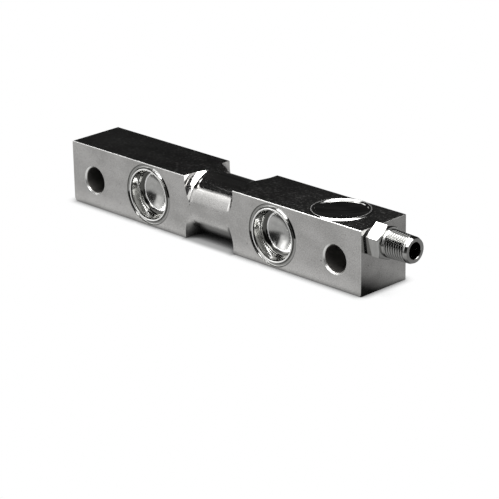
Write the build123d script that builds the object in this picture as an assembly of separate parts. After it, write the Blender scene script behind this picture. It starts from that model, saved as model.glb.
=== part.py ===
from build123d import *
import os
from math import cos, radians, sin, sqrt

# Double ended beam load cell, in millimetres.
# X runs along the beam towards the cable entry, -Y is the front face, +Z is up.
# The origin is the centre of the turned neck, where the load is hung.

# Beam
beam_length = 203.2
beam_width = 31.7
beam_height = 33.0
edge_break = 0.35            # radius of the broken edges
heel_radius = 2.4            # lower edge of the blind end
brow_radius = 0.9            # upper edge of the blind end

# Turned neck between the two end blocks
neck_gap = 33.9              # from block to block
neck_radius = 15.85
neck_fillet = 4.8

# Cross holes that hold the two ends
hole_spacing = 169.8
hole_diameter = 13.5
hole_drop = 1.7              # below mid height
hole_chamfer = 0.9

# Gauge pockets, one pair back to back in each half
pocket_spacing = 87.8
web_thickness = 5.5
pocket_corner = 1.0
lip_thickness = 0.6
lip_drop = 0.3
relief_radius = 1.0          # of the round weld relief groove

# Seal cups
cup_radius = 12.7            # inside the mouth
cup_sheet = 0.6
cup_ledge_depth = 6.9
dish_radius = 9.9            # of the bowl's edge
cup_corner = 1.8
ledge_round = 0.9
bead_height = 0.53
slip = 0.05                  # between a turned piece and its bore

# Strain gauges, terminals and leads on the webs
gauge_length = 10.0
gauge_width = 7.0
gauge_film = 0.15
gauge_foil = 0.05
grid_length = 4.6
grid_width = 2.6
terminal_length = 7.0
terminal_width = 2.6
terminal_thickness = 0.8
terminal_pad = 0.1
terminal_count = 4
terminal_gap = 0.6           # from gauge to terminal strip
lead_radius = 0.4
lead_clearance = 0.3
web_hole_radius = 1.1
web_hole_gap = 0.9           # from terminal strip to the hole in the web

# Drilled passage for the wires
passage_depth = 5.0          # below the top face
passage_offset = 4.3         # in front of the beam's axis
passage_radius = 1.3
bundle_radius = 0.8
bundle_clearance = 0.05

# Circuit cavity in the top of the right block
cavity_offset = 74.5         # from the middle of the beam
cavity_corner = 0.8
seat_wall = 0.85             # steel left between the seat and a side face
seat_ledge = 2.4
seat_depth = 1.8
cover_sheet = 1.0
cover_edge_drop = 0.4
cover_sag = 1.1
cover_bead_width = 2.2
cover_bead_overlap = 0.6     # of the bead past the seat

# Circuit
pad_length = 12.0
pad_width = 10.0
pad_thickness = 0.5
board_width = 15.0
board_clearance = 0.9        # from its corners to the cavity's wall
board_thickness = 0.8
resistor_radius = 1.0
resistor_length = 6.0
resistor_wire = 0.25
resistor_reach = 1.3         # of the wire past each end of the body
resistor_pitch = 3.2

# Cable entry: adapter, washer and glass feedthrough
entry_drop = 6.63            # below the top face
entry_offset = 5.1           # in front of the beam's axis
washer_thickness = 1.0
washer_radius = 7.3
hex_across_flats = 15.9
hex_thickness = 7.7
hex_turn = 8.15              # degrees
hex_chamfer = 0.95
spigot_length = 15.1
spigot_root_radius = 6.95
spigot_taper = 1 / 32        # radius lost over each millimetre
spigot_chamfer = 0.75
entry_bore_radius = 4.1      # takes the cable
entry_bore_length = 13.3
shell_seat_radius = 3.6      # of the glass feedthrough
wire_bore_radius = 3.0
shoulder_height = 4.0        # of the feedthrough's seat, out from the end face
port_radius = 5.0
port_depth = 9.5
port_chamfer = 0.4
stem_length = 9.0
shell_wall = 0.75
shell_length = 3.5
pin_count = 6
pin_circle = 1.9
pin_radius = 0.35
pin_inner_reach = 1.4
pin_outer_reach = 2.5

# Worked out from the sizes above
pocket_radius = cup_radius + cup_sheet + slip
lip_radius = pocket_radius + lip_thickness
relief_circle = lip_radius + relief_radius
pocket_depth = (beam_width - web_thickness) / 2
terminal_top = terminal_thickness + terminal_pad
lead_height = terminal_top + lead_radius + slip
gauge_space = lead_height + lead_radius + lead_clearance
dish_bottom = pocket_depth - gauge_space
terminal_shift = gauge_length / 2 + terminal_gap + terminal_width / 2
web_hole_shift = terminal_shift + terminal_width / 2 + web_hole_gap + web_hole_radius
passage_height = beam_height / 2 - passage_depth
seat_radius = beam_width / 2 - seat_wall
cavity_radius = seat_radius - seat_ledge
cover_bead_inner = seat_radius + cover_bead_overlap - cover_bead_width
board_length = 2 * sqrt((cavity_radius - board_clearance) ** 2 - (board_width / 2) ** 2)
board_top = passage_height - bundle_radius - bundle_clearance
cavity_floor = board_top - board_thickness - pad_thickness
entry_x = beam_length / 2
entry_height = beam_height / 2 - entry_drop
spigot_start = washer_thickness + hex_thickness
spigot_end = spigot_start + spigot_length

halves = {"left": -1, "right": 1}
faces = {"front": -1, "rear": 1}


def turned(*outline, radii=None):
    # A closed outline of (radius, height) points, turned about Z.
    points = [(r, 0, h) for r, h in outline]
    if radii is None:
        wire = Polyline(*points, close=True)
    else:
        wire = FilletPolyline(*points, radius=radii, close=True)
    return revolve(make_face(wire), Axis.Z)


def ring(inner, outer, low, high):
    return turned((inner, low), (outer, low), (outer, high), (inner, high))


def disc(radius, low, high):
    return Pos(0, 0, (low + high) / 2) * Cylinder(radius, high - low)


def on_side(half, face):
    # Frame on a side face at a pocket's axis, its Z pointing out of the beam.
    x = halves[half] * pocket_spacing / 2
    y = faces[face] * beam_width / 2
    return Pos(x, y, 0) * Rot(-90 * faces[face], 0, 0)


def on_web(half, face):
    # Frame on the web's face: X towards the middle of the beam, Z out of the web.
    x = halves[half] * pocket_spacing / 2
    y = faces[face] * web_thickness / 2
    turn = 180 if half == "right" else 0
    return Pos(x, y, 0) * Rot(-90 * faces[face], 0, 0) * Rot(0, 0, turn)


def on_top():
    return Pos(cavity_offset, 0, beam_height / 2)


def on_end():
    return Pos(entry_x, -entry_offset, entry_height) * Rot(0, 90, 0)


def wire_run(points, radius):
    # A bundle of wires: straight runs with a round at each end and bend.
    run = None
    for start, end in zip(points, points[1:]):
        path = Line(start, end)
        stretch = sweep(Plane(path @ 0, z_dir=path % 0) * Circle(radius), path)
        run = stretch if run is None else run + stretch
    for point in points[1:-1]:
        run += Pos(*point) * Sphere(radius)
    return run


def blank():
    bar = Box(beam_length, beam_width, beam_height)
    left = bar.faces().sort_by(Axis.X)[0]
    low = left.edges().sort_by(Axis.Z)[0]
    high = left.edges().sort_by(Axis.Z)[-1]
    bar = fillet(low, heel_radius)
    left = bar.faces().sort_by(Axis.X)[0]
    high = left.edges().sort_by(Axis.Z)[-1]
    bar = fillet(high, brow_radius)
    long_edges = bar.edges().filter_by(Axis.X)
    right_edges = bar.faces().sort_by(Axis.X)[-1].edges()
    return fillet(long_edges + right_edges, edge_break)


def neck_cut():
    half = neck_gap / 2
    clear = beam_width + beam_height
    points = [(-half, 0, clear), (-half, 0, neck_radius), (half, 0, neck_radius), (half, 0, clear)]
    floor = FilletPolyline(*points, radius=[neck_fillet, neck_fillet])
    outline = floor + Line(points[-1], points[0])
    return revolve(make_face(outline), Axis.X)


def pocket_cut():
    bore = turned((0, 1), (0, -pocket_depth), (pocket_radius, -pocket_depth), (pocket_radius, 1),
                  radii=[0, 0, pocket_corner, 0])
    lip_top = ring(pocket_radius - slip, lip_radius, -lip_drop, 1)
    relief = Torus(relief_circle, relief_radius)
    return bore + lip_top + relief


def cavity_cut():
    depth = beam_height / 2 - cavity_floor
    bore = turned((0, 1), (0, -depth), (cavity_radius, -depth), (cavity_radius, 1),
                  radii=[0, 0, cavity_corner, 0])
    return bore + disc(seat_radius, -seat_depth, 1)


def cross_hole_cut():
    half = beam_width / 2
    radius = hole_diameter / 2
    mouth = radius + hole_chamfer
    return turned((0, -half - 1), (mouth + 1, -half - 1), (radius, -half + hole_chamfer),
                  (radius, half - hole_chamfer), (mouth + 1, half + 1), (0, half + 1))


def entry_port_cut():
    mouth = port_radius + port_chamfer
    return turned((0, 1), (mouth + 1, 1), (port_radius, -port_chamfer), (port_radius, -port_depth),
                  (0, -port_depth))


def passage_cut():
    # Drilled from the bottom of the entry port through to the left gauge pocket.
    start = entry_x - port_depth + slip
    end = -pocket_spacing / 2
    middle = (start + end) / 2
    drill = Rot(0, 90, 0) * Cylinder(passage_radius, start - end)
    return Pos(middle, -passage_offset, passage_height) * drill


def beam_body():
    body = blank() - neck_cut()
    for side in halves.values():
        hole = Pos(side * hole_spacing / 2, 0, -hole_drop) * Rot(90, 0, 0) * cross_hole_cut()
        body -= hole
    for half, side in halves.items():
        for face in faces:
            body -= on_side(half, face) * pocket_cut()
        x = side * (pocket_spacing / 2 - web_hole_shift)
        body -= Pos(x, 0, 0) * Rot(90, 0, 0) * Cylinder(web_hole_radius, web_thickness + 1)
    body -= on_top() * cavity_cut()
    body -= on_end() * entry_port_cut()
    return body - passage_cut()


def nearest_corner(outline, r, h):
    return outline.vertices().sort_by_distance((r, 0, h))[0]


def seal_cup():
    # Turned from bar: bead at the mouth, wall, ledge and a round bowl over the gauge.
    wall = cup_radius + cup_sheet
    ledge = -cup_ledge_depth
    floor = cup_sheet - dish_bottom
    sag = ledge - floor
    sphere = (dish_radius ** 2 + sag ** 2) / (2 * sag)
    middle = floor + sphere
    under_sphere = sphere + cup_sheet
    under_radius = sqrt(under_sphere ** 2 - (middle - ledge + cup_sheet) ** 2)

    def on_sphere(radius, r):
        return (r, 0, middle - sqrt(radius ** 2 - r ** 2))

    bowl = ThreePointArc(on_sphere(sphere, 0), on_sphere(sphere, dish_radius / 2), (dish_radius, 0, ledge))
    step = Polyline((dish_radius, 0, ledge), (cup_radius, 0, ledge), (cup_radius, 0, -lip_drop),
                    (wall, 0, -lip_drop), (wall, 0, ledge - cup_sheet), (under_radius, 0, ledge - cup_sheet))
    under_bowl = ThreePointArc((under_radius, 0, ledge - cup_sheet), on_sphere(under_sphere, under_radius / 2),
                               on_sphere(under_sphere, 0))
    axis = Line(under_bowl @ 1, bowl @ 0)
    outline = make_face([bowl, step, under_bowl, axis])
    for r, h, radius in ((dish_radius, ledge, ledge_round), (cup_radius, ledge, cup_corner),
                         (wall, ledge - cup_sheet, cup_corner + cup_sheet),
                         (under_radius, ledge - cup_sheet, ledge_round / 2)):
        outline = fillet(nearest_corner(outline, r, h), radius)
    bead_round = (lip_radius - cup_radius) / 2 - 0.01
    bead = turned((cup_radius, -lip_drop), (lip_radius, -lip_drop), (lip_radius, bead_height),
                  (cup_radius, bead_height), radii=[0, 0, bead_round, bead_round])
    return revolve(outline, Axis.Z) + bead


def strain_gauge():
    # Film with two crossed grids for shear, and its solder tabs.
    film = Pos(0, 0, gauge_film / 2) * Box(gauge_length, gauge_width, gauge_film)
    top = gauge_film + gauge_foil / 2
    gauge = film
    for sign in (-1, 1):
        grid = Rot(0, 0, sign * 45) * Box(grid_length, grid_width, gauge_foil)
        gauge += Pos(sign * grid_width / 2, 0, top) * grid
        tab = Box(grid_width / 2, grid_width / 4, gauge_foil)
        for side in (-1, 1):
            gauge += Pos(side * gauge_length / 3, sign * gauge_width / 3, top) * tab
    return gauge


def terminal_strip():
    strip = Pos(0, 0, terminal_thickness / 2) * Box(terminal_width, terminal_length, terminal_thickness)
    pitch = terminal_length / terminal_count
    for index in range(terminal_count):
        y = (index - (terminal_count - 1) / 2) * pitch
        pad = Box(terminal_width - 2 * terminal_pad, pitch / 2, terminal_pad)
        strip += Pos(0, y, terminal_thickness + terminal_pad / 2) * pad
    return Pos(terminal_shift, 0, 0) * strip


def web_leads(half):
    # From the front strip through the hole in the web to the rear strip.
    side = halves[half]
    strip_x = side * (pocket_spacing / 2 - terminal_shift)
    hole_x = side * (pocket_spacing / 2 - web_hole_shift)
    reach = web_thickness / 2 + lead_height
    return wire_run([(strip_x, -reach, 0), (hole_x, -reach, 0), (hole_x, reach, 0), (strip_x, reach, 0)],
                    lead_radius)


def bridge_harness():
    # One bundle in the passage, with a branch down to each front strip.
    start = cavity_offset - board_length / 5
    end = -(pocket_spacing / 2 - terminal_shift)
    harness = wire_run([(start, -passage_offset, passage_height), (end, -passage_offset, passage_height)],
                       bundle_radius)
    reach = web_thickness / 2 + lead_height
    for side in halves.values():
        x = side * (pocket_spacing / 2 - terminal_shift)
        harness += wire_run([(x, -passage_offset, passage_height), (x, -reach, terminal_length / 3),
                             (x, -reach, terminal_length / 4)], lead_radius)
    return harness


def output_leads():
    start = cavity_offset + board_length / 5
    end = entry_x + shoulder_height - pin_inner_reach
    return wire_run([(start, -passage_offset, passage_height), (end, -passage_offset, passage_height)],
                    bundle_radius)


def circuit_cover():
    # A dished disc in its seat, with the weld bead standing round its edge.
    rim = seat_radius - slip
    bead_outer = cover_bead_inner + cover_bead_width
    inner = cover_bead_inner - 0.2
    low = -cover_edge_drop - cover_sag
    skirt = cavity_radius + slip
    sphere = (inner ** 2 + cover_sag ** 2) / (2 * cover_sag)

    def dish(r, drop):
        return (r, 0, low - drop + sphere - sqrt(sphere ** 2 - r ** 2))

    dish_top = ThreePointArc(dish(0, 0), dish(inner / 2, 0), dish(inner, 0))
    dish_under = ThreePointArc(dish(skirt, cover_sheet), dish(skirt / 2, cover_sheet), dish(0, cover_sheet))
    inner_wall = Line(dish(inner, 0), (cover_bead_inner, 0, 0))
    crown = ThreePointArc((cover_bead_inner, 0, 0),
                          (cover_bead_inner + cover_bead_width / 2, 0, bead_height), (bead_outer, 0, 0))
    edge = Polyline((bead_outer, 0, 0), (rim, 0, 0), (rim, 0, -seat_depth), (skirt, 0, -seat_depth),
                    dish(skirt, cover_sheet))
    axis = Line(dish(0, cover_sheet), dish(0, 0))
    return revolve(make_face([dish_top, inner_wall, crown, edge, dish_under, axis]), Axis.Z)


def board_pad():
    middle = cavity_floor + pad_thickness / 2
    return Pos(cavity_offset, 0, middle) * Box(pad_length, pad_width, pad_thickness)


def circuit_board():
    middle = board_top - board_thickness / 2
    plate = Box(board_length, board_width, board_thickness)
    return Pos(cavity_offset, 0, middle) * chamfer(plate.edges().filter_by(Axis.Z), pad_thickness)


def axial_resistor(row):
    body = Rot(0, 90, 0) * Cylinder(resistor_radius, resistor_length)
    body = fillet(body.edges(), resistor_radius / 3)
    reach = resistor_length / 2 + resistor_reach
    wire = Rot(0, 90, 0) * Cylinder(resistor_wire, 2 * reach)
    resistor = body + wire
    for side in (-1, 1):
        leg = Pos(side * (reach - resistor_wire), 0, -resistor_radius / 2) * Cylinder(resistor_wire, resistor_radius)
        resistor += leg
    y = row * resistor_pitch
    return Pos(cavity_offset, y, board_top + resistor_radius) * resistor


def conduit_adapter():
    corner = hex_across_flats / sqrt(3)
    flat = hex_across_flats / 2
    prism = extrude(RegularPolygon(corner, 6, rotation=hex_turn), hex_thickness)
    prism = Pos(0, 0, washer_thickness) * prism
    crown = turned((0, washer_thickness), (corner + 1, washer_thickness), (corner + 1, spigot_start - hex_chamfer),
                   (corner, spigot_start - hex_chamfer), (flat - hex_chamfer / 3, spigot_start), (0, spigot_start))
    nut = prism & crown
    thread_end = spigot_end - spigot_chamfer
    end_radius = spigot_root_radius - spigot_taper * (thread_end - spigot_start)
    spigot = turned((0, spigot_start), (spigot_root_radius, spigot_start), (end_radius, thread_end),
                    (end_radius - spigot_chamfer / 2, spigot_end), (0, spigot_end))
    stem = disc(port_radius - slip, -stem_length, washer_thickness)
    bore = disc(entry_bore_radius, spigot_end - entry_bore_length, spigot_end + 1)
    bore += disc(shell_seat_radius, shoulder_height, spigot_end)
    wire_bore = disc(wire_bore_radius, -stem_length - 1, shoulder_height)
    return nut + spigot + stem - bore - wire_bore


def sealing_washer():
    return ring(port_radius + slip, washer_radius, 0, washer_thickness)


def feedthrough_shell():
    outer = shell_seat_radius - slip
    return ring(outer - shell_wall, outer, shoulder_height, shoulder_height + shell_length)


def pins(radius):
    low = shoulder_height - pin_inner_reach
    high = shoulder_height + shell_length + pin_outer_reach
    places = [360 / pin_count * index for index in range(pin_count)]
    group = [Pos(pin_circle * cos(radians(a)), pin_circle * sin(radians(a)), 0) * disc(radius, low, high)
             for a in places]
    return group


def feedthrough_glass():
    radius = shell_seat_radius - slip - shell_wall - slip / 2
    glass = disc(radius, shoulder_height, shoulder_height + shell_length)
    for pin in pins(pin_radius + slip / 2):
        glass -= pin
    return glass


def feedthrough_pins():
    return Compound(children=[pin.solid() for pin in pins(pin_radius)])


def build():
    parts = {"beam_body": beam_body()}
    for half in halves:
        for face in faces:
            name = face + "_" + half
            parts[name + "_seal_cup"] = on_side(half, face) * seal_cup()
            parts[name + "_strain_gauge"] = on_web(half, face) * strain_gauge()
            parts[name + "_terminal_strip"] = on_web(half, face) * terminal_strip()
        parts[half + "_web_leads"] = web_leads(half)
    parts["bridge_harness"] = bridge_harness()
    parts["output_leads"] = output_leads()
    parts["circuit_cover"] = on_top() * circuit_cover()
    parts["board_pad"] = board_pad()
    parts["circuit_board"] = circuit_board()
    for row, name in enumerate(("zero", "span", "modulus")):
        parts[name + "_resistor"] = axial_resistor(row - 0.4)
    parts["conduit_adapter"] = on_end() * conduit_adapter()
    parts["sealing_washer"] = on_end() * sealing_washer()
    parts["feedthrough_shell"] = on_end() * feedthrough_shell()
    parts["feedthrough_glass"] = on_end() * feedthrough_glass()
    parts["feedthrough_pins"] = on_end() * feedthrough_pins()
    return parts


os.makedirs("parts", exist_ok=True)
for name, shape in build().items():
    export_step(shape, f"parts/{name}.step")
    print(name, round(shape.volume, 2))
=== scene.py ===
from math import cos, pi, radians, sin, sqrt

import bmesh
import bpy
from mathutils import Matrix, Vector


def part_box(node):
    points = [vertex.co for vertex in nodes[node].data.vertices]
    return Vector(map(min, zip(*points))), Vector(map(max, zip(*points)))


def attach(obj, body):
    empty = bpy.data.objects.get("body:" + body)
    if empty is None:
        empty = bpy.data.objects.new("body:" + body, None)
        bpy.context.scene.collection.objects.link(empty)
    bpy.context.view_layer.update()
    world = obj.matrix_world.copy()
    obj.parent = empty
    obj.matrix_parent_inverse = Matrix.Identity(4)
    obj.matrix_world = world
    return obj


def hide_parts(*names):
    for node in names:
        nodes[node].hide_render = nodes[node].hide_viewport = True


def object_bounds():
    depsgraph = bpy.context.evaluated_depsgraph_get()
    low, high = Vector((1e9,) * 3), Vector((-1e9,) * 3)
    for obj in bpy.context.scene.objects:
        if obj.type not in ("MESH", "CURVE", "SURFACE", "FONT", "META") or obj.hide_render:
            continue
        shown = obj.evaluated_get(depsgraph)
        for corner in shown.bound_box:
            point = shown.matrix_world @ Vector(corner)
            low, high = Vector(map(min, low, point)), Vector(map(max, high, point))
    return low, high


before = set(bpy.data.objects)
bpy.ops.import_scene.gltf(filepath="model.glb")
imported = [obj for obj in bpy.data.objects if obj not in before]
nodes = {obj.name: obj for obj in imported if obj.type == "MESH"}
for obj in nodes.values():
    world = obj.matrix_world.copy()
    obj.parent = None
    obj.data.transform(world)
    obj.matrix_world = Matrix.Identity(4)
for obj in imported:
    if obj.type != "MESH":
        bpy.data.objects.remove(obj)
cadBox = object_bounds()
mm = 0.001

# Double ended beam load cell: a ground and plated steel bar, turned to a round neck in the middle,
# with welded gauge pockets, a welded round cover on top and a threaded cable entry.


def linear(hexColour):
    # sRGB hex to the linear colour that shaders take.
    channels = [int(hexColour[i:i + 2], 16) / 255 for i in (1, 3, 5)]
    return tuple(c / 12.92 if c <= 0.04045 else ((c + 0.055) / 1.055) ** 2.4 for c in channels) + (1.0,)


def addNode(tree, kind, *inputs, out=0, **settings):
    # Adds a node with its settings, fills its inputs and gives one of its outputs. The inputs come in
    # order, or by name or number in a dictionary: values, hex colours or other nodes' outputs. A kind
    # without the word Node is a shader node.
    node = tree.nodes.new(kind if "Node" in kind else "ShaderNode" + kind)
    for name, value in settings.items():
        setattr(node, name, value)
    named = inputs[0] if inputs and isinstance(inputs[0], dict) else dict(enumerate(inputs))
    for key, value in named.items():
        if isinstance(value, bpy.types.NodeSocket):
            tree.links.new(value, node.inputs[key])
        else:
            node.inputs[key].default_value = linear(value) if isinstance(value, str) else value
    return node.outputs[out] if node.outputs else None


def newMaterial(name, **sockets):
    # A Principled material with its constant sockets set.
    material = bpy.data.materials.new(name)
    material.use_nodes = True
    tree = material.node_tree
    tree.nodes.clear()
    shader = addNode(tree, "BsdfPrincipled").node
    for key, value in sockets.items():
        shader.inputs[key].default_value = value
    addNode(tree, "OutputMaterial", {"Surface": shader.outputs["BSDF"]})
    return material, tree, shader


def dress(names, material):
    # Gives CAD pieces their one material.
    for name in names:
        nodes[name].data.materials.clear()
        nodes[name].data.materials.append(material)


# Camera

cameraView = {
    "place": (0.77336, -0.75380, 0.38374),
    "yaw": 45.279,      # degrees from +Y towards -X
    "pitch": 20.636,    # degrees down
    "roll": -0.983,
    "lens": 165.84,     # mm
}


def makeCamera():
    yaw, pitch, roll = (radians(cameraView[key]) for key in ("yaw", "pitch", "roll"))
    ahead = Vector((-sin(yaw) * cos(pitch), cos(yaw) * cos(pitch), -sin(pitch)))
    right = Vector((cos(yaw), sin(yaw), 0))
    up = right.cross(ahead)
    across = cos(roll) * right + sin(roll) * up
    upward = -sin(roll) * right + cos(roll) * up
    data = bpy.data.cameras.new("camera")
    data.lens = cameraView["lens"]
    data.sensor_width = 36      # mm
    data.clip_end = 50          # m
    camera = bpy.data.objects.new("camera", data)
    turn = Matrix((across, upward, -ahead)).transposed().to_4x4()
    camera.matrix_world = Matrix.Translation(cameraView["place"]) @ turn
    bpy.context.scene.collection.objects.link(camera)
    bpy.context.scene.camera = camera


makeCamera()
print("camera done")


# Patterns that the finishes share

def coordinates(tree):
    # Object coordinates in millimetres, and their parts.
    place = addNode(tree, "TexCoord", out="Object")
    scaled = addNode(tree, "VectorMath", {0: place, "Scale": 1 / mm}, operation="SCALE")
    axes = addNode(tree, "SeparateXYZ", {"Vector": scaled}).node
    return scaled, axes.outputs["X"], axes.outputs["Y"], axes.outputs["Z"]


def noise(tree, vector, size, detail=2.0, stretch=(1, 1, 1), seed=0.0):
    # Noise whose features are size millimetres across, stretched along the axes.
    shift = (seed, 2 * seed, 3 * seed)
    scale = tuple(1 / (size * s) for s in stretch)
    mapped = addNode(tree, "Mapping", {"Vector": vector, "Location": shift, "Scale": scale})
    return addNode(tree, "TexNoise", {"Vector": mapped, "Scale": 1.0, "Detail": detail})


def windowOf(tree, value, low, high, soft):
    # 1 between low and high, fading out over a width of soft on both sides.
    rise = addNode(tree, "MapRange", value, low - soft, low, interpolation_type="SMOOTHSTEP")
    fall = addNode(tree, "MapRange", value, high + soft, high, interpolation_type="SMOOTHSTEP")
    return addNode(tree, "Math", rise, fall, operation="MULTIPLY")


def distance(tree, first, second):
    # Length of the way that has these two parts.
    squares = [addNode(tree, "Math", part, part, operation="MULTIPLY") for part in (first, second)]
    return addNode(tree, "Math", addNode(tree, "Math", *squares, operation="ADD"), operation="SQRT")


def ringBetween(tree, radius, limits, inside, outside):
    # 1 on a ring between two radii, faded over these widths inside and outside both.
    low, high = limits
    rise = addNode(tree, "MapRange", radius, low - outside, low + inside)
    fall = addNode(tree, "MapRange", radius, high + outside, high - inside)
    return addNode(tree, "Math", rise, fall, operation="MULTIPLY")


# Beam body: bar steel, ground and plated

steelLook = {
    "plate": "#A9A8A6",         # bright nickel over ground steel
    "plateLight": "#C5C4C2",    # its lighter clouds
    "edge": "#F6F6F4",          # painted highlight along the edges, on the hole rims and on arcs of the grooves
    "bore": "#787673",          # drilled walls, darker and duller
    "toneFrom": (0.6, 1.0),     # where the pattern turns from plate to plateLight
    "rough": 0.11,
    "roughSwing": 0.03,
    "edgeRough": 0.36,
    "boreRough": 0.5,
    "edgeReach": 0.42,          # mm from an edge
    "edgeCore": 0.7,            # share of that reach where the upper edges are fully bright
    "faintReach": (0.8, 0.5),   # shares of it, and how bright the other edges get
    "faintEdge": 0.35,
    "cloudSize": 9.0,           # mm, soft clouds in the plating
    "cloudShare": 0.7,
    "grainSize": 0.45,          # mm, real grain is near 0.1 mm, drawn coarser so that it shows
    "grainShare": 0.9,
    "grainHeight": 0.012,       # mm
    "grainRelief": 0.35,
    "speckSize": 1.3,           # mm between pits, of which only the deepest show
    "speckFrom": (0.835, 0.85),
    "speckTone": "#5E5D5B",
    "mottleSize": 1.3,          # mm, patches that the plating left duller
    "mottleFrom": (0.45, 0.75),
    "mottleRough": 0.13,
    "streakSize": 0.7,          # mm, turning streaks along the neck, coarser than the real 0.2 mm
    "streakLength": 25,         # times their width
    "streakFrom": (0.5, 0.75),
    "streakRough": 0.09,
    "streakHeight": 0.03,       # mm
    "streakRelief": 0.6,
    "halfLength": 101.6,        # mm, the bar
    "halfWidth": 15.85,
    "halfHeight": 16.5,
    "neckHalf": 17.2,
    "holeX": 84.9,              # mm, the cross holes
    "holeZ": -1.7,
    "holeRadius": 6.95,
    "holeChamfer": 0.7,
    "holeRimHighlight": 0.8,            # how bright the painted highlight on their rims is
    "pocketX": 43.9,            # mm, the gauge pockets
    "groove": (13.9, 15.95),    # mm, the weld relief groove round each pocket
    "grooveTone": "#9C9C9A",
    "darkReflectionTone": "#141413",      # painted dark reflection, on two sides of the groove
    "darkReflectionBand": (14.1, 15.75),  # mm
    "darkReflectionAngles": (8, 47),      # degrees from the beam's outer direction, and again half a turn on
    "grooveHighlightBand": (13.8, 15.3),  # mm, where a highlight is painted on the groove
    "grooveHighlightAngles": (51, 76),
}


def edgeHighlights(tree, x, y, z):
    # 1 in a narrow strip along the bar's two upper long edges, less along its other edges, where a highlight is
    # painted.
    look = steelLook
    reach = look["edgeReach"]
    sides = ((look["halfLength"], x), (look["halfWidth"], y), (look["halfHeight"], z))
    depths = [addNode(tree, "Math", value, operation="ABSOLUTE") for half, value in sides]
    gaps = [addNode(tree, "Math", half, depth, operation="SUBTRACT")
            for (half, value), depth in zip(sides, depths)]
    sums = [addNode(tree, "Math", gaps[a], gaps[b], operation="ADD") for a, b in ((0, 1), (0, 2), (1, 2))]
    upper = addNode(tree, "Math", addNode(tree, "MapRange", sums[2], reach, reach * look["edgeCore"]),
                    addNode(tree, "MapRange", z, 0.0, 1.0), operation="MULTIPLY")
    other = addNode(tree, "Math", sums[0], addNode(tree, "Math", sums[1], sums[2], operation="MINIMUM"),
                    operation="MINIMUM")
    far, near = look["faintReach"]
    other = addNode(tree, "MapRange", other, reach * far, reach * near, 0.0, look["faintEdge"])
    return addNode(tree, "Math", upper, other, operation="MAXIMUM")


def holeZones(tree, x, y, z):
    # 1 on the walls of the two cross holes, then 1 on their chamfered rims.
    look = steelLook
    across = addNode(tree, "Math", addNode(tree, "Math", x, operation="ABSOLUTE"), look["holeX"],
                     operation="SUBTRACT")
    upward = addNode(tree, "Math", z, look["holeZ"], operation="SUBTRACT")
    radius = distance(tree, across, upward)
    depth = addNode(tree, "Math", y, operation="ABSOLUTE")
    inner = look["halfWidth"] - look["holeChamfer"]
    radial = addNode(tree, "MapRange", radius, look["holeRadius"] + 0.08, look["holeRadius"] + 0.02)
    walls = addNode(tree, "Math", radial, addNode(tree, "MapRange", depth, inner + 0.02, inner - 0.05),
                    operation="MULTIPLY")
    edge = look["holeRadius"] + look["holeChamfer"]
    rims = addNode(tree, "MapRange", radius, edge + 0.1, edge)
    rims = addNode(tree, "Math", rims, addNode(tree, "MapRange", depth, inner - 0.02, inner + 0.05),
                   operation="MULTIPLY")
    return walls, rims


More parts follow.
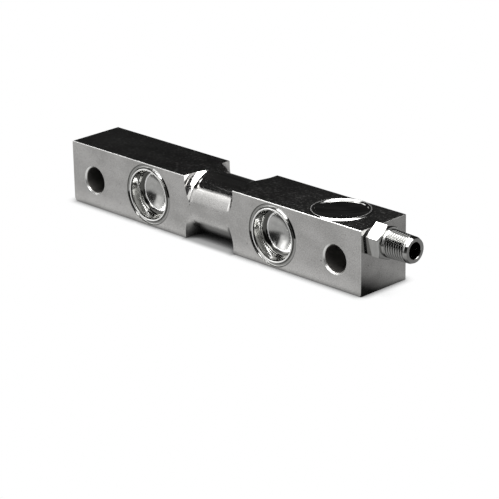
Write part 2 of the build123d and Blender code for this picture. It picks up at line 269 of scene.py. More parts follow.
def groundSteel():
    # Ground bar steel under bright nickel plate: even grey with soft clouds and a fine grain, painted
    # highlights along its edges, hole rims and two arcs of each groove, painted dark reflections on two other
    # arcs, and darker and duller down the drilled cross holes.
    look = steelLook
    material, tree, shader = newMaterial("groundNickelSteel", Metallic=1.0)
    place, x, y, z = coordinates(tree)
    clouds = noise(tree, place, look["cloudSize"], 3.0, (1.6, 1, 1))    # longer along the bar
    grain = noise(tree, place, look["grainSize"], 1.0, seed=3.0)
    soft = addNode(tree, "Math", clouds, look["cloudShare"], operation="MULTIPLY")
    tone = addNode(tree, "Math", soft, addNode(tree, "Math", grain, look["grainShare"], operation="MULTIPLY"),
                   operation="ADD")
    tone = addNode(tree, "MapRange", tone, *look["toneFrom"])
    plate = addNode(tree, "Mix", {"Factor": tone, 6: look["plate"], 7: look["plateLight"]}, data_type="RGBA",
                    out=2)
    across = addNode(tree, "Math", addNode(tree, "Math", x, operation="ABSOLUTE"), look["pocketX"],
                     operation="SUBTRACT")
    radius = distance(tree, across, z)
    low, high = look["groove"]
    groove = addNode(tree, "MapRange", radius, low - 0.05, low + 0.05)
    groove = addNode(tree, "Math", groove, addNode(tree, "MapRange", radius, high, high - 0.1),
                     operation="MULTIPLY")
    depth, face = addNode(tree, "Math", y, operation="ABSOLUTE"), look["halfWidth"]
    groove = addNode(tree, "Math", groove, addNode(tree, "MapRange", depth, face - 0.01, face - 0.06),
                     operation="MULTIPLY")
    middle = addNode(tree, "Math", look["pocketX"], addNode(tree, "Math", x, operation="SIGN"),
                     operation="MULTIPLY")
    side = addNode(tree, "Math", x, middle, operation="SUBTRACT")
    facing = addNode(tree, "Math", addNode(tree, "Math", y, operation="SIGN"), -1.0, operation="MULTIPLY")
    angle = addNode(tree, "Math", z, addNode(tree, "Math", side, facing, operation="MULTIPLY"),
                    operation="ARCTAN2")
    angle = addNode(tree, "Math", angle, 180 / pi, operation="MULTIPLY")
    angle = addNode(tree, "Math", addNode(tree, "Math", angle, 60.0, operation="ADD"), 180.0,
                    operation="FLOORED_MODULO")
    angle = addNode(tree, "Math", angle, 60.0, operation="SUBTRACT")   # -60 to 120 degrees, twice round
    # Painted dark reflections on two arcs of each groove, and painted highlights on two others.
    darkReflection = windowOf(tree, angle, *look["darkReflectionAngles"], 3)
    darkReflection = addNode(tree, "Math", darkReflection, windowOf(tree, radius, *look["darkReflectionBand"], 0.1), operation="MULTIPLY")
    grooveHighlight = addNode(tree, "Math", windowOf(tree, angle, *look["grooveHighlightAngles"], 3), groove,
                    operation="MULTIPLY")
    grooveHighlight = addNode(tree, "Math", grooveHighlight, windowOf(tree, radius, *look["grooveHighlightBand"], 0.1),
                    operation="MULTIPLY")
    grooveReflections = addNode(tree, "Mix", {"Factor": darkReflection, 6: look["grooveTone"], 7: look["darkReflectionTone"]},
                       data_type="RGBA", out=2)
    plate = addNode(tree, "Mix", {"Factor": groove, 6: plate, 7: grooveReflections}, data_type="RGBA", out=2)
    specks = noise(tree, place, look["speckSize"], 0.0, seed=11.0)
    specks = addNode(tree, "MapRange", specks, *look["speckFrom"])
    plate = addNode(tree, "Mix", {"Factor": specks, 6: plate, 7: look["speckTone"]}, data_type="RGBA", out=2)
    holes, rims = holeZones(tree, x, y, z)
    # Painted highlights on the chamfered rims of the cross holes.
    rims = addNode(tree, "Math", rims, look["holeRimHighlight"], operation="MULTIPLY")
    # Painted highlights along the edges and on the groove arcs.
    paintedHighlights = addNode(tree, "Math", edgeHighlights(tree, x, y, z), rims, operation="MAXIMUM")
    paintedHighlights = addNode(tree, "Math", paintedHighlights, grooveHighlight, operation="MAXIMUM")
    plate = addNode(tree, "Mix", {"Factor": paintedHighlights, 6: plate, 7: look["edge"]}, data_type="RGBA", out=2)
    plate = addNode(tree, "Mix", {"Factor": holes, 6: plate, 7: look["bore"]}, data_type="RGBA", out=2)
    tree.links.new(plate, shader.inputs["Base Color"])
    smooth, swing = look["rough"], look["roughSwing"]
    ground = addNode(tree, "MapRange", clouds, 0.3, 0.7, smooth - swing, smooth + swing)
    mottle = noise(tree, place, look["mottleSize"], 1.0, seed=17.0)
    neckHalf = look["neckHalf"]
    neck = addNode(tree, "MapRange", addNode(tree, "Math", x, operation="ABSOLUTE"), neckHalf - 1,
                   neckHalf - 2)
    streaks = noise(tree, place, look["streakSize"], 2.0, (look["streakLength"], 1, 1), 13.0)
    drawn = addNode(tree, "MapRange", streaks, *look["streakFrom"], 0.0, look["streakRough"])
    dull = addNode(tree, "MapRange", mottle, *look["mottleFrom"], 0.0, look["mottleRough"])
    marks = addNode(tree, "Mix", {"Factor": neck, 2: dull, 3: drawn})
    ground = addNode(tree, "Math", ground, marks, operation="ADD")
    highlightRoughness = addNode(tree, "Mix", {"Factor": paintedHighlights, 2: ground, 3: look["edgeRough"]})
    rough = addNode(tree, "Mix", {"Factor": holes, 2: highlightRoughness, 3: look["boreRough"]})
    tree.links.new(rough, shader.inputs["Roughness"])
    ridges = addNode(tree, "Math", streaks, neck, operation="MULTIPLY")
    turned = addNode(tree, "Bump",
                     {"Height": ridges, "Strength": look["streakRelief"],
                      "Distance": look["streakHeight"] * mm})
    bump = addNode(tree, "Bump",
                   {"Height": grain, "Strength": look["grainRelief"], "Distance": look["grainHeight"] * mm,
                    "Normal": turned})
    tree.links.new(bump, shader.inputs["Normal"])
    return material


dress(["beam_body"], groundSteel())
print("beam body done")


# Gauge cups: pressed steel, welded in

cupLook = {
    "light": "#B8B8B6",
    "dark": "#AEAEAC",
    "rough": 0.2,
    "centreX": 43.9,                # mm
    "beadHighlight": (12.95, 13.65),    # mm, a painted highlight along the middle of the weld bead
    "beadDepth": 15.2,
    # colour of the painted highlight on the bead
    "bead": "#F6F6F4",
    "beadRough": 0.3,
    "beadShade": "#5A5A58",              # painted shade over the weld bead at the mouth, against the wall
    "wall": (12.6, 12.68),          # mm, the straight wall
    # a brighter wall colour, painted light that lifts its many reflections
    "wallLight": "#EEEEEC",
    "wallRough": 0.13,
    "ledge": (10.4, 12.55),         # mm, the flat step round the bowl, painted dark as shade
    "ledgeShade": "#5A5A58",
    "ledgeRough": 0.08,
    "rim": (9.75, 10.15),           # mm, the bowl's lip, with a painted highlight
    "lipHighlight": "#FFFFFF",
    "rimRough": 0.4,
}


def cupSteel():
    # Pressed and polished steel: a soft mirror on the wall, its colour brightened as painted light, satin in the
    # bowl, a ledge painted dark as shade, a lip and the weld bead's crest with matt painted highlights, and the
    # rest of the bead at the mouth painted dark as shade.
    look = cupLook
    material, tree, shader = newMaterial("polishedCupSteel", Metallic=1.0)
    place, x, y, z = coordinates(tree)
    clouds = noise(tree, place, 3.0, 2.0, seed=5.0)
    across = addNode(tree, "Math", addNode(tree, "Math", x, operation="ABSOLUTE"), look["centreX"],
                     operation="SUBTRACT")
    radius = distance(tree, across, z)
    depth = look["beadDepth"]
    mouth = addNode(tree, "MapRange", addNode(tree, "Math", y, operation="ABSOLUTE"), depth, depth + 0.1)
    crest = addNode(tree, "Math", ringBetween(tree, radius, look["beadHighlight"], 0.05, 0.1), mouth,
                    operation="MULTIPLY")
    tone = addNode(tree, "MapRange", clouds, 0.35, 0.65)
    plain = addNode(tree, "Mix", {"Factor": tone, 6: look["dark"], 7: look["light"]}, data_type="RGBA", out=2)
    wall = addNode(tree, "MapRange", radius, *look["wall"])
    # The wall is painted brighter, as light.
    plain = addNode(tree, "Mix", {"Factor": wall, 6: plain, 7: look["wallLight"]}, data_type="RGBA", out=2)
    ledge = windowOf(tree, radius, *look["ledge"], 0.05)
    rim = windowOf(tree, radius, *look["rim"], 0.1)
    # Painted shade on the ledge, and a painted highlight on the bowl's lip.
    plain = addNode(tree, "Mix", {"Factor": ledge, 6: plain, 7: look["ledgeShade"]}, data_type="RGBA", out=2)
    plain = addNode(tree, "Mix", {"Factor": rim, 6: plain, 7: look["lipHighlight"]}, data_type="RGBA", out=2)
    # Painted shade over the bead at the mouth.
    plain = addNode(tree, "Mix", {"Factor": mouth, 6: plain, 7: look["beadShade"]}, data_type="RGBA", out=2)
    # Painted highlight along the bead's crest.
    plain = addNode(tree, "Mix", {"Factor": crest, 6: plain, 7: look["bead"]}, data_type="RGBA", out=2)
    tree.links.new(plain, shader.inputs["Base Color"])
    smooth = addNode(tree, "MapRange", clouds, 0.3, 0.7, look["rough"] - 0.02, look["rough"] + 0.02)
    smooth = addNode(tree, "Mix", {"Factor": wall, 2: smooth, 3: look["wallRough"]})
    smooth = addNode(tree, "Mix", {"Factor": ledge, 2: smooth, 3: look["ledgeRough"]})
    smooth = addNode(tree, "Mix", {"Factor": rim, 2: smooth, 3: look["rimRough"]})
    rough = addNode(tree, "Mix", {"Factor": crest, 2: smooth, 3: look["beadRough"]})
    tree.links.new(rough, shader.inputs["Roughness"])
    return material


dress([name for name in nodes if name.endswith("seal_cup")], cupSteel())
print("gauge cups done")


# Circuit cover: polished steel disc, welded in

coverLook = {
    "light": "#B8B8B6",
    "dark": "#AEAEAC",
    "rough": 0.06,
    "centreX": 74.5,                # mm
    "face": 16.55,                  # mm, just over the top face
    "beadHighlight": (14.15, 14.8),     # mm
    # colour of the painted highlight on the bead
    "bead": "#F6F6F4",
    "beadRough": 0.28,
    "rippleSize": 1.3,              # mm, a painted highlight along the crest of the weld bead
    "rippleHeight": 0.12,
    "rippleRelief": 0.8,
}


def coverSteel():
    # Polished steel of the round cover, with a matt painted highlight along the crest of its weld bead.
    look = coverLook
    material, tree, shader = newMaterial("polishedCoverSteel", Metallic=1.0)
    place, x, y, z = coordinates(tree)
    clouds = noise(tree, place, 4.0, 2.0, seed=7.0)
    ripple = noise(tree, place, look["rippleSize"], 1.0, seed=9.0)
    across = addNode(tree, "Math", x, look["centreX"], operation="SUBTRACT")
    radius = distance(tree, across, y)
    proud = addNode(tree, "MapRange", z, look["face"], look["face"] + 0.1)
    crest = addNode(tree, "Math", ringBetween(tree, radius, look["beadHighlight"], 0.1, 0.15), proud,
                    operation="MULTIPLY")
    tone = addNode(tree, "MapRange", clouds, 0.35, 0.65)
    plain = addNode(tree, "Mix", {"Factor": tone, 6: look["dark"], 7: look["light"]}, data_type="RGBA", out=2)
    plain = addNode(tree, "Mix", {"Factor": crest, 6: plain, 7: look["bead"]}, data_type="RGBA", out=2)
    tree.links.new(plain, shader.inputs["Base Color"])
    rough = addNode(tree, "Mix", {"Factor": crest, 2: look["rough"], 3: look["beadRough"]})
    tree.links.new(rough, shader.inputs["Roughness"])
    ripple = addNode(tree, "Math", ripple, crest, operation="MULTIPLY")
    bump = addNode(tree, "Bump",
                   {"Height": ripple, "Strength": look["rippleRelief"],
                    "Distance": look["rippleHeight"] * mm})
    tree.links.new(bump, shader.inputs["Normal"])
    return material


dress(["circuit_cover"], coverSteel())
print("circuit cover done")


# Turned pieces and the plain ones

turnedLook = {
    "light": "#B4B4B2",
    "dark": "#A4A4A2",
    "rough": 0.09,
    "lineGap": 0.35,        # mm, the tool's feed is near 0.1 mm, drawn coarser so that it shows
    "lineHeight": 0.01,     # mm
    "relief": 0.06,
}

pinLook = {"light": "#7E7E7C", "dark": "#70706E", "rough": 0.35, "relief": 0.15}

# Finish: colour, roughness, and words that its pieces have in their names.
plainFinishes = {
    "nitrileRubber": ("#333333", 0.6, "washer"),            # moulded, dull black
    "sealingGlass": ("#0C1210", 0.1, "glass"),              # fused, dark and glossy
    "polyimideFilm": ("#B5772E", 0.35, "gauge"),            # amber film with a soft shine
    "glassClothStrip": ("#8C6B3F", 0.45, "terminal"),       # brown laminate
    "wireSleeving": ("#2E4A78", 0.45, "leads harness"),     # drawn plastic, satin blue
    "boardLaminate": ("#1F5A34", 0.4, "circuit_board"),     # green lacquer over glass cloth
    "foamTape": ("#D8D4C8", 0.8, "pad"),                    # matt, off-white
    "epoxyCoat": ("#C9B48A", 0.4, "resistor"),              # dipped, smooth and beige
}


def turnedSteel(name, **changes):
    # Bright turned steel: smooth, with fine rings left by the tool round the axis.
    look = {**turnedLook, **changes}
    material, tree, shader = newMaterial(name, Metallic=1.0)
    place = coordinates(tree)[0]
    lines = noise(tree, place, look["lineGap"], 2.0, (1, 60, 60))   # drawn out round the axis, X
    clouds = noise(tree, place, 4.0, 2.0, seed=5.0)
    tone = addNode(tree, "Math", lines, 0.6, operation="MULTIPLY")
    tone = addNode(tree, "Math", tone, addNode(tree, "Math", clouds, 0.4, operation="MULTIPLY"),
                   operation="ADD")
    tone = addNode(tree, "MapRange", tone, 0.35, 0.65)
    colour = addNode(tree, "Mix", {"Factor": tone, 6: look["dark"], 7: look["light"]}, data_type="RGBA",
                     out=2)
    tree.links.new(colour, shader.inputs["Base Color"])
    rough = addNode(tree, "MapRange", clouds, 0.3, 0.7, look["rough"] - 0.03, look["rough"] + 0.03)
    tree.links.new(rough, shader.inputs["Roughness"])
    bump = addNode(tree, "Bump",
                   {"Height": lines, "Strength": look["relief"], "Distance": look["lineHeight"] * mm})
    tree.links.new(bump, shader.inputs["Normal"])
    return material


dress(["conduit_adapter", "feedthrough_shell"], turnedSteel("brightTurnedSteel"))
dress(["feedthrough_pins"], turnedSteel("nickelPins", **pinLook))
for finish, (colour, roughness, words) in plainFinishes.items():
    plain, tree, shader = newMaterial(finish, Roughness=roughness)
    shader.inputs["Base Color"].default_value = linear(colour)
    dress([name for name in nodes if any(word in name for word in words.split())], plain)
print("turned and plain pieces done")


# Cable entry: hexagon, tapered thread, bore and stem in one piece

adapter = {
    "segments": 144,            # round the axis, a multiple of six
    "acrossFlats": 15.9,        # all lengths in mm, and places out from the beam's end face
    "hexTurn": 38.15,           # degrees
    "hexEnd": 8.7,
    "crownDrop": 0.95,          # chamfer at the hexagon's corners
    "washer": 1.0,              # where the hexagon starts, on the washer
    "crestRadius": 6.95,        # over the crests, beside the hexagon
    "taper": 1 / 32,
    "threadStart": 9.5,
    "threadEnd": 22.3,
    "pitch": 1.411,             # 18 threads to the inch
    "depth": 0.85,
    "flank": 1.25,              # steeper than a plain V, which leaves narrow flats at crest and root
    "crestFlat": -0.12,
    "rowsPerPitch": 14,
    # Painted shade in the thread's roots:
    "rootShadeFrom": 0.35,            # depth below the crest
    "rootShadeFull": 0.7,
    "rootShadeLimit": (1.5, 1.3),     # deeper lies the bore
    "rootShadeTone": "#343432",
    "tipStart": 22.5,
    "tipRadius": 5.95,
    "tipRun": 0.3,              # small chamfer behind the last turn
    "tipDrop": 0.12,
    "boreRadius": 4.1,
    "boreChamfer": 0.2,
    "boreEnd": 10.5,
    "seatRadius": 3.6,          # where the feedthrough sits
    "seatEnd": 4.0,
    "wireRadius": 3.0,
    "stemRadius": 4.95,
    "stemLength": 9.0,
    "sharpFrom": 32,            # degrees, edges that stay crisp
}


def entryAxis():
    # Where the axis meets the beam's end face, in metres.
    low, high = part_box("sealing_washer")
    return low[0], (low[1] + high[1]) / 2, (low[2] + high[2]) / 2


def darkenRoots(material):
    # Painted shade in the roots of the thread, darker with depth.
    a = adapter
    tree = material.node_tree
    x, y, z = coordinates(tree)[1:]
    start, middleY, middleZ = (value / mm for value in entryAxis())
    hexEnd, threadStart, threadEnd = (start + a[key] for key in ("hexEnd", "threadStart", "threadEnd"))
    across = addNode(tree, "Math", y, middleY, operation="SUBTRACT")
    upward = addNode(tree, "Math", z, middleZ, operation="SUBTRACT")
    reach = 32      # mm, only to give the taper its slope
    crest = addNode(tree, "MapRange", x, hexEnd, hexEnd + reach, a["crestRadius"],
                    a["crestRadius"] - reach * a["taper"])
    depth = addNode(tree, "Math", crest, distance(tree, across, upward), operation="SUBTRACT")
    roots = addNode(tree, "MapRange", depth, a["rootShadeFrom"], a["rootShadeFull"])
    roots = addNode(tree, "Math", roots, addNode(tree, "MapRange", x, threadStart, threadStart + 0.2),
                    operation="MULTIPLY")
    roots = addNode(tree, "Math", roots, addNode(tree, "MapRange", x, threadEnd + 0.2, threadEnd),
                    operation="MULTIPLY")
    roots = addNode(tree, "Math", roots, addNode(tree, "MapRange", depth, *a["rootShadeLimit"]),
                    operation="MULTIPLY")
    shader = next(node for node in tree.nodes if node.type == "BSDF_PRINCIPLED")
    before = shader.inputs["Base Color"].links[0].from_socket
    shadedRoots = addNode(tree, "Mix", {"Factor": roots, 6: before, 7: a["rootShadeTone"]}, data_type="RGBA", out=2)
    tree.links.new(shadedRoots, shader.inputs["Base Color"])


def threadTree(material):
    # A grid whose rows run along the thread and whose columns run round it, bent to a tapered helix.
    a = adapter
    tree = bpy.data.node_groups.new("taperedThread", "GeometryNodeTree")
    tree.interface.new_socket("Geometry", in_out="OUTPUT", socket_type="NodeSocketGeometry")
    names = ("Start", "End", "Thread Start", "Thread End", "Pitch", "Depth", "Radius", "Taper", "Turn")
    for name in names:
        tree.interface.new_socket(name, in_out="INPUT", socket_type="NodeSocketFloat")
    for name in ("Rows", "Columns"):
        tree.interface.new_socket(name, in_out="INPUT", socket_type="NodeSocketInt")
    given = addNode(tree, "NodeGroupInput").node.outputs
    grid = addNode(tree, "GeometryNodeMeshGrid", 1.0, 1.0, given["Rows"], given["Columns"], out="Mesh")
    spot = addNode(tree, "SeparateXYZ", addNode(tree, "GeometryNodeInputPosition")).node.outputs
    along = addNode(tree, "MapRange", spot["X"], -0.5, 0.5, given["Start"], given["End"])
    turns = addNode(tree, "Math", spot["Y"], 0.5, operation="ADD")
    phase = addNode(tree, "Math", along, given["Pitch"], operation="DIVIDE")
    phase = addNode(tree, "Math", addNode(tree, "Math", phase, turns, operation="SUBTRACT"),
                    operation="FRACT")
    groove = addNode(tree, "Math", phase, 2.0, -1.0, operation="MULTIPLY_ADD")
    groove = addNode(tree, "Math", 1.0, addNode(tree, "Math", groove, operation="ABSOLUTE"),
                     operation="SUBTRACT")
    groove = addNode(tree, "Math", groove, a["flank"], a["crestFlat"], operation="MULTIPLY_ADD",
                     use_clamp=True)
    runIn = addNode(tree, "Math", along, given["Thread Start"], operation="SUBTRACT")
    runIn = addNode(tree, "Math", runIn, given["Pitch"], operation="DIVIDE", use_clamp=True)
    runOut = addNode(tree, "Math", given["Thread End"], along, operation="SUBTRACT")
    runOut = addNode(tree, "Math", runOut, given["Pitch"], operation="DIVIDE", use_clamp=True)
    cut = addNode(tree, "Math", groove, addNode(tree, "Math", runIn, runOut, operation="MINIMUM"),
                  operation="MULTIPLY")
    cut = addNode(tree, "Math", cut, given["Depth"], operation="MULTIPLY")
    drop = addNode(tree, "Math", addNode(tree, "Math", along, given["Start"], operation="SUBTRACT"),
                   given["Taper"], operation="MULTIPLY")
    crest = addNode(tree, "Math", given["Radius"], drop, operation="SUBTRACT")
    radius = addNode(tree, "Math", crest, cut, operation="SUBTRACT")
    angle = addNode(tree, "Math", addNode(tree, "Math", turns, 2 * pi, operation="MULTIPLY"), given["Turn"],
                    operation="ADD")
    aside = addNode(tree, "Math", radius, addNode(tree, "Math", angle, operation="COSINE"),
                    operation="MULTIPLY")
    upward = addNode(tree, "Math", radius, addNode(tree, "Math", angle, operation="SINE"),
                     operation="MULTIPLY")
    bent = addNode(tree, "CombineXYZ", along, aside, upward)
    placed = addNode(tree, "GeometryNodeSetPosition", {"Geometry": grid, "Position": bent})
    real = addNode(tree, "GeometryNodeRealizeInstances", placed)
    dressed = addNode(tree, "GeometryNodeSetMaterial", {"Geometry": real, "Material": material})
    addNode(tree, "NodeGroupOutput", dressed)
    return tree


def runTree(name, tree, values):
    # Runs a tree with the named inputs and gives its result as a plain mesh.
    holder = bpy.data.objects.new(name, bpy.data.meshes.new(name + "Seed"))
    bpy.context.scene.collection.objects.link(holder)
    modifier = holder.modifiers.new(name, "NODES")
    modifier.node_group = tree
    for item in tree.interface.items_tree:
        if item.in_out == "INPUT" and item.name in values:
            modifier[item.identifier] = values[item.name]
    holder.update_tag()
    bpy.context.view_layer.update()
    evaluated = holder.evaluated_get(bpy.context.evaluated_depsgraph_get())
    mesh = bpy.data.meshes.new_from_object(evaluated)
    mesh.name = name
    bpy.data.objects.remove(holder)
    return mesh


def hexRadius(angle):
    # Distance from the axis to the hexagon's side at an angle from one of its corners.
    fromFlat = (angle % (pi / 3)) - pi / 6
    return adapter["acrossFlats"] / 2 / cos(fromFlat)


def adapterRings():
    # From the thread's first ring back over the hexagon, down the stem, out through the bore to the tip.
    a = adapter
    count = a["segments"]
    turn = radians(a["hexTurn"])
    angles = [turn + 2 * pi * index / count for index in range(count)]
    flat = a["acrossFlats"] / 2
    crown = flat - a["crownDrop"] / 3
    slope = a["crownDrop"] / (flat * 2 / sqrt(3) - crown)
    sides = [hexRadius(2 * pi * index / count) for index in range(count)]

    def ring(along, radius):
        # One ring of points. Either value may be a list, one for each point.
        radii = radius if isinstance(radius, list) else [radius] * count
        places = along if isinstance(along, list) else [along] * count
        return [(x, r * cos(v), r * sin(v)) for x, r, v in zip(places, radii, angles)]

    shoulder = [a["hexEnd"] - slope * (side - crown) for side in sides]
    tip = (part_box("conduit_adapter")[1][0] - entryAxis()[0]) / mm
    end = a["crestRadius"] - a["taper"] * (a["tipStart"] - a["hexEnd"])
    return [
        ring(a["hexEnd"], a["crestRadius"]), ring(a["hexEnd"], crown), ring(shoulder, sides),
        ring(a["washer"], sides), ring(a["washer"], a["stemRadius"]), ring(-a["stemLength"], a["stemRadius"]),
        ring(-a["stemLength"], a["wireRadius"]), ring(a["seatEnd"], a["wireRadius"]),
        ring(a["seatEnd"], a["seatRadius"]), ring(a["boreEnd"], a["seatRadius"]),
        ring(a["boreEnd"], a["boreRadius"]), ring(tip - a["boreChamfer"], a["boreRadius"]),
        ring(tip, a["boreRadius"] + a["boreChamfer"]), ring(tip, a["tipRadius"]),
        ring(a["tipStart"] + a["tipRun"], end - a["tipDrop"]), ring(a["tipStart"], end),
    ]


def makeAdapter():
    # Turns the thread and the rings into one closed mesh at the end face.
    a = adapter
    threadSteel = turnedSteel("threadedSteel")
    darkenRoots(threadSteel)
    length = a["tipStart"] - a["hexEnd"]
    rows = round(length / a["pitch"] * a["rowsPerPitch"]) + 1
    values = {"Start": a["hexEnd"], "End": a["tipStart"], "Thread Start": a["threadStart"],
              "Thread End": a["threadEnd"], "Pitch": a["pitch"], "Depth": a["depth"], "Radius": a["crestRadius"],
              "Taper": a["taper"], "Turn": radians(a["hexTurn"]), "Rows": rows, "Columns": a["segments"] + 1}
    thread = runTree("adapterThread", threadTree(threadSteel), values)
    shape = bmesh.new()
    shape.from_mesh(thread)
    rings = [[shape.verts.new(point) for point in ring] for ring in adapterRings()]
    count = a["segments"]
    for first, second in zip(rings, rings[1:]):
        for index in range(count):
            after = (index + 1) % count
            shape.faces.new((first[index], first[after], second[after], second[index]))
    bmesh.ops.remove_doubles(shape, verts=shape.verts, dist=1e-4)   # mm
    bmesh.ops.recalc_face_normals(shape, faces=shape.faces)
    x, y, z = entryAxis()
    place = Matrix.Translation((x, y, z)) @ Matrix.Scale(mm, 4)
    bmesh.ops.transform(shape, verts=shape.verts, matrix=place)
    for face in shape.faces:
        face.smooth = True
        face.material_index = 0
    mesh = bpy.data.meshes.new("threadedAdapter")
    shape.to_mesh(mesh)
    shape.free()
    mesh.set_sharp_from_angle(angle=radians(a["sharpFrom"]))
    mesh.materials.clear()
    mesh.materials.append(threadSteel)
    piece = bpy.data.objects.new("threadedAdapter", mesh)
    bpy.context.scene.collection.objects.link(piece)
    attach(piece, "root")
    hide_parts("conduit_adapter")


makeAdapter()
print("threaded adapter done")


# Floor: pale sheet that shows the camera only its shadows, and metal a softly lit studio floor

floorLook = {
    "size": 6.0,                            # m
    "glow": 0.65,                           # what metal sees of it
    "wideReach": 0.04,                      # m, the soft shadow all round
    "wideShade": (0.12, 0.415, 0.02, 1.0),  # openness from and to, shade from and to
    "nearReach": 0.005,                     # m, the contact shadow
    "nearShade": (0.45, 0.97, 0.3, 1.0),
    "gapX": (-17.0, 17.0),                  # mm, the shadow under the neck
    "gapFront": (-20.5, -15.5),
    "gapBack": (20.0, 15.0),
    "gapShade": 0.4,
    "frontY": (-36.0, -16.0),               # mm, a little brighter just before the beam
    "frontEnd": (-15.0, -16.0),
    "frontBoost": 0.25,
    "behindY": (22.0, 45.0),                # mm, dim behind the left block
    "behindX": (20.0, -10.0),
    "behindShade": 0.12,
    "endX": (75.0, 135.0),                  # mm, dim before the right end
    "endY": (-60.0, -16.0),
    "endFar": (300.0, 180.0),
    "endShade": 0.45,
    "patchX": (136.0, 110.0),               # mm, nearly black right beside the end face
    "patchStart": (100.0, 101.0),
    "patchFront": (-28.0, -17.0),
    "patchBack": (20.0, -6.0),
    "patchShade": 0.03,
    "awayY": (-80.0, -150.0),               # mm, dim far out in front on the right
    "awayX": (-80.0, 0.0),
    "awayShade": 0.15,
}


def makeFloor():
    # The camera sees plain white with two soft shadows. Metal sees zones that are lit in their own way.
    look = floorLook
    half = look["size"] / 2
    z = cadBox[0][2]
    mesh = bpy.data.meshes.new("floor")
    mesh.from_pydata([(-half, -half, z), (half, -half, z), (half, half, z), (-half, half, z)], [],
                     [(0, 1, 2, 3)])
    floor = bpy.data.objects.new("floor", mesh)
    bpy.context.scene.collection.objects.link(floor)
    material = bpy.data.materials.new("paleFloor")
    material.use_nodes = True
    tree = material.node_tree
    tree.nodes.clear()
    x, y = coordinates(tree)[1:3]
    wide = addNode(tree, "AmbientOcclusion", {"Distance": look["wideReach"]}, samples=8, out="AO")
    near = addNode(tree, "AmbientOcclusion", {"Distance": look["nearReach"]}, samples=8, out="AO")
    wide = addNode(tree, "MapRange", wide, *look["wideShade"])
    near = addNode(tree, "MapRange", near, *look["nearShade"])
    shade = addNode(tree, "Math", wide, near, operation="MULTIPLY")
    left, right = look["gapX"]
    gap = addNode(tree, "MapRange", x, left - 2, left)
    gap = addNode(tree, "Math", gap, addNode(tree, "MapRange", x, right + 2, right), operation="MINIMUM")
    fade = addNode(tree, "MapRange", y, *look["gapFront"], interpolation_type="SMOOTHSTEP")
    gap = addNode(tree, "Math", gap, fade, operation="MULTIPLY")
    gap = addNode(tree, "Math", gap, addNode(tree, "MapRange", y, *look["gapBack"]), operation="MULTIPLY")
    gap = addNode(tree, "MapRange", gap, 0.0, 1.0, 1.0, look["gapShade"])
    shade = addNode(tree, "Math", shade, gap, operation="MULTIPLY")

    front = addNode(tree, "MapRange", y, *look["frontY"], 0.0, look["frontBoost"],
                    interpolation_type="SMOOTHSTEP")
    front = addNode(tree, "Math", front, addNode(tree, "MapRange", y, *look["frontEnd"]),
                    operation="MULTIPLY")
    behind = addNode(tree, "MapRange", y, *look["behindY"])
    behind = addNode(tree, "Math", behind, addNode(tree, "MapRange", x, *look["behindX"]),
                     operation="MULTIPLY")
    behind = addNode(tree, "MapRange", behind, 0.0, 1.0, 1.0, look["behindShade"])
    end = addNode(tree, "MapRange", x, *look["endX"], 0.0, look["endShade"], interpolation_type="SMOOTHSTEP")
    end = addNode(tree, "Math", end, addNode(tree, "MapRange", y, *look["endY"]), operation="MULTIPLY")
    end = addNode(tree, "Math", end, addNode(tree, "MapRange", x, *look["endFar"]), operation="MULTIPLY")
    end = addNode(tree, "Math", 1.0, end, operation="SUBTRACT")
    patch = addNode(tree, "MapRange", x, *look["patchX"], 0.0, 1.0, interpolation_type="SMOOTHSTEP")
    patch = addNode(tree, "Math", patch, addNode(tree, "MapRange", y, *look["patchBack"]),
                    operation="MULTIPLY")
    patch = addNode(tree, "Math", patch, addNode(tree, "MapRange", x, *look["patchStart"]),
                    operation="MULTIPLY")
    patch = addNode(tree, "Math", patch, addNode(tree, "MapRange", y, *look["patchFront"]),
                    operation="MULTIPLY")
    patch = addNode(tree, "MapRange", patch, 0.0, 1.0, 1.0, look["patchShade"])
    away = addNode(tree, "MapRange", y, *look["awayY"], interpolation_type="SMOOTHSTEP")
    aside = addNode(tree, "MapRange", x, *look["awayX"], interpolation_type="SMOOTHSTEP")
    away = addNode(tree, "Math", away, aside, operation="MULTIPLY")
    away = addNode(tree, "MapRange", away, 0.0, 1.0, 1.0, look["awayShade"])

    glow = addNode(tree, "Math", 1.0, front, operation="ADD")
    for factor in (behind, end, patch, away, shade, look["glow"]):
        glow = addNode(tree, "Math", glow, factor, operation="MULTIPLY")
    seen = addNode(tree, "Emission", {"Strength": shade})
    mirrored = addNode(tree, "Emission", {"Strength": glow})
    path = addNode(tree, "LightPath", out="Is Camera Ray")
    mix = addNode(tree, "MixShader", path, mirrored, seen)
    addNode(tree, "OutputMaterial", {"Surface": mix})
    mesh.materials.append(material)


makeFloor()
print("floor done")


# Studio: black flags all round, with a lit wall in front on the left, a big panel overhead in front on
# the right and a tall strip on the right. The camera itself sees plain white.

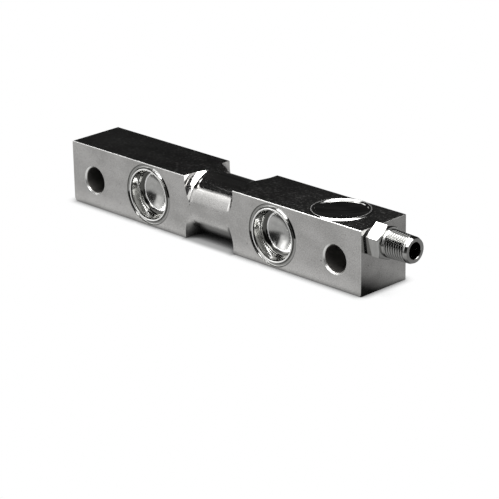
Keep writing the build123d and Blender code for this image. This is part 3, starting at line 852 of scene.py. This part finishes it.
studio = {
    "level": 0.8,                           # all the glows below, together
    "wallAzimuth": (-160, -117),            # degrees, the lit wall
    "wallTop": 35,
    "wallGlow": ((0, 0.9), (5, 1.15), (15, 1.3), (24, 1.45), (29, 1.85), (35, 2.2)),    # degrees up, glow
    "litEnd": (-160, -148),                 # degrees, the wall's brighter left end
    "litBoost": 1.0,
    "windows": (                            # degrees round and up, each with its soft edge, and the glow
        ((-122, -106), 4, (2, 41), 3, 1.4),     # the wall's taller right part
        ((-174, -147), 2, (54, 64), 2, 4.5),    # a strip high on the left
        ((14, 28), 4, (2, 32), 4, 1.4),         # a tall light on the right
        ((30, 62), 6, (24, 60), 6, 1.0),        # a dim light behind on the right
    ),
    "panelLeft": 0.06,                      # sides of the big overhead panel, as slopes from the zenith
    "panelRight": 2.2,
    "panelFront": -1.4,
    "panelBack": 0.45,
    "panelSkew": 0.3,
    "panelCorner": 1.04,                    # its front right corner is cut off here
    "cornerSlope": 0.6,                     # along this slope
    "panelGlow": 6.0,
    "clothDark": 0.02,                      # the black flags
    "clothLight": 0.05,
    "boxPlace": (0.07, -0.02, 0.15),        # m, a small softbox over the right block
    "boxSize": (0.20, 0.16),
    "boxAim": (0.07, -0.02, 0),
    "boxPower": 0.8,                        # watts
    "cardPlace": (-0.003, -0.060, 0.024),   # m, a small card in front of the neck's left fillet
    "cardSize": (0.034, 0.030),
    "cardAim": (-0.015, -0.014, 0.006),
    "cardPower": 0.0045,                    # watts
}


def makeWorld():
    world = bpy.data.worlds.new("studio")
    bpy.context.scene.world = world
    world.use_nodes = True
    tree = world.node_tree
    tree.nodes.clear()
    way = addNode(tree, "TexCoord", out="Generated")
    axes = addNode(tree, "SeparateXYZ", way).node.outputs
    x, y, z = (axes[letter] for letter in "XYZ")
    azimuth = addNode(tree, "Math", addNode(tree, "Math", y, x, operation="ARCTAN2"), 180 / pi,
                      operation="MULTIPLY")
    rise = addNode(tree, "Math", addNode(tree, "Math", z, operation="ARCSINE"), 180 / pi,
                   operation="MULTIPLY")

    wall = windowOf(tree, azimuth, *studio["wallAzimuth"], 5)
    top = addNode(tree, "MapRange", rise, studio["wallTop"] + 2.5, studio["wallTop"],
                  interpolation_type="SMOOTHSTEP")
    wall = addNode(tree, "Math", wall, top, operation="MULTIPLY")
    steps = studio["wallGlow"]
    level = steps[0][1]
    for (low, before), (high, after) in zip(steps, steps[1:]):
        level = addNode(tree, "Math", level, addNode(tree, "MapRange", rise, low, high, 0.0, after - before),
                        operation="ADD")
    litEnd = windowOf(tree, azimuth, *studio["litEnd"], 3)
    litEnd = addNode(tree, "Math", litEnd, studio["litBoost"], operation="MULTIPLY")
    litEnd = addNode(tree, "Math", litEnd, 1.0, operation="ADD")
    level = addNode(tree, "Math", level, litEnd, operation="MULTIPLY")
    wall = addNode(tree, "Math", wall, level, operation="MULTIPLY")

    above = addNode(tree, "Math", z, 0.02, operation="MAXIMUM")
    slopeX = addNode(tree, "Math", x, above, operation="DIVIDE")
    slopeY = addNode(tree, "Math", y, above, operation="DIVIDE")
    back = addNode(tree, "Math", slopeX, studio["panelSkew"], operation="MULTIPLY")
    back = addNode(tree, "Math", slopeY, back, operation="SUBTRACT")
    panel = windowOf(tree, slopeX, studio["panelLeft"], studio["panelRight"], 0.06)
    edge = studio["panelFront"]
    panel = addNode(tree, "Math", panel, addNode(tree, "MapRange", slopeY, edge - 0.15, edge),
                    operation="MULTIPLY")
    edge = studio["panelBack"]
    panel = addNode(tree, "Math", panel, addNode(tree, "MapRange", back, edge + 0.06, edge),
                    operation="MULTIPLY")
    corner = addNode(tree, "Math", slopeY, studio["cornerSlope"], operation="MULTIPLY")
    corner = addNode(tree, "Math", slopeX, corner, operation="SUBTRACT")
    edge = studio["panelCorner"]
    panel = addNode(tree, "Math", panel, addNode(tree, "MapRange", corner, edge + 0.04, edge - 0.02),
                    operation="MULTIPLY")
    panel = addNode(tree, "Math", panel, studio["panelGlow"], operation="MULTIPLY")

    folds = noise(tree, way, 0.05, 3.0, (3.0, 3.0, 1.0))
    cloth = addNode(tree, "MapRange", folds, 0.4, 0.75, studio["clothDark"], studio["clothLight"])

    total = addNode(tree, "Math", wall, panel, operation="MAXIMUM")
    total = addNode(tree, "Math", total, cloth, operation="MAXIMUM")
    for azimuths, azimuthSoft, rises, riseSoft, glow in studio["windows"]:
        lit = windowOf(tree, azimuth, *azimuths, azimuthSoft)
        lit = addNode(tree, "Math", lit, windowOf(tree, rise, *rises, riseSoft), operation="MULTIPLY")
        lit = addNode(tree, "Math", lit, glow, operation="MULTIPLY")
        total = addNode(tree, "Math", total, lit, operation="MAXIMUM")
    total = addNode(tree, "Math", total, studio["level"], operation="MULTIPLY")
    path = addNode(tree, "LightPath", out="Is Camera Ray")
    strength = addNode(tree, "Mix", {"Factor": path, 2: total, 3: 1.0})
    light = addNode(tree, "Background", {"Color": "#FFFFFF", "Strength": strength})
    addNode(tree, "OutputWorld", {"Surface": light})


def makeLamp(name, place, size, power, aim):
    # A flat soft light that shines towards a point and is hidden from the camera.
    lamp = bpy.data.lights.new(name, "AREA")
    lamp.shape = "RECTANGLE"
    lamp.size, lamp.size_y = size
    lamp.energy = power
    light = bpy.data.objects.new(name, lamp)
    light.location = place
    light.rotation_euler = (Vector(aim) - Vector(place)).to_track_quat("-Z", "Y").to_euler()
    light.visible_camera = False
    bpy.context.scene.collection.objects.link(light)


makeLamp("softbox", studio["boxPlace"], studio["boxSize"], studio["boxPower"], studio["boxAim"])
makeLamp("neckCard", studio["cardPlace"], studio["cardSize"], studio["cardPower"], studio["cardAim"])
makeWorld()
bpy.context.scene.view_settings.view_transform = "Standard"
print("studio done")
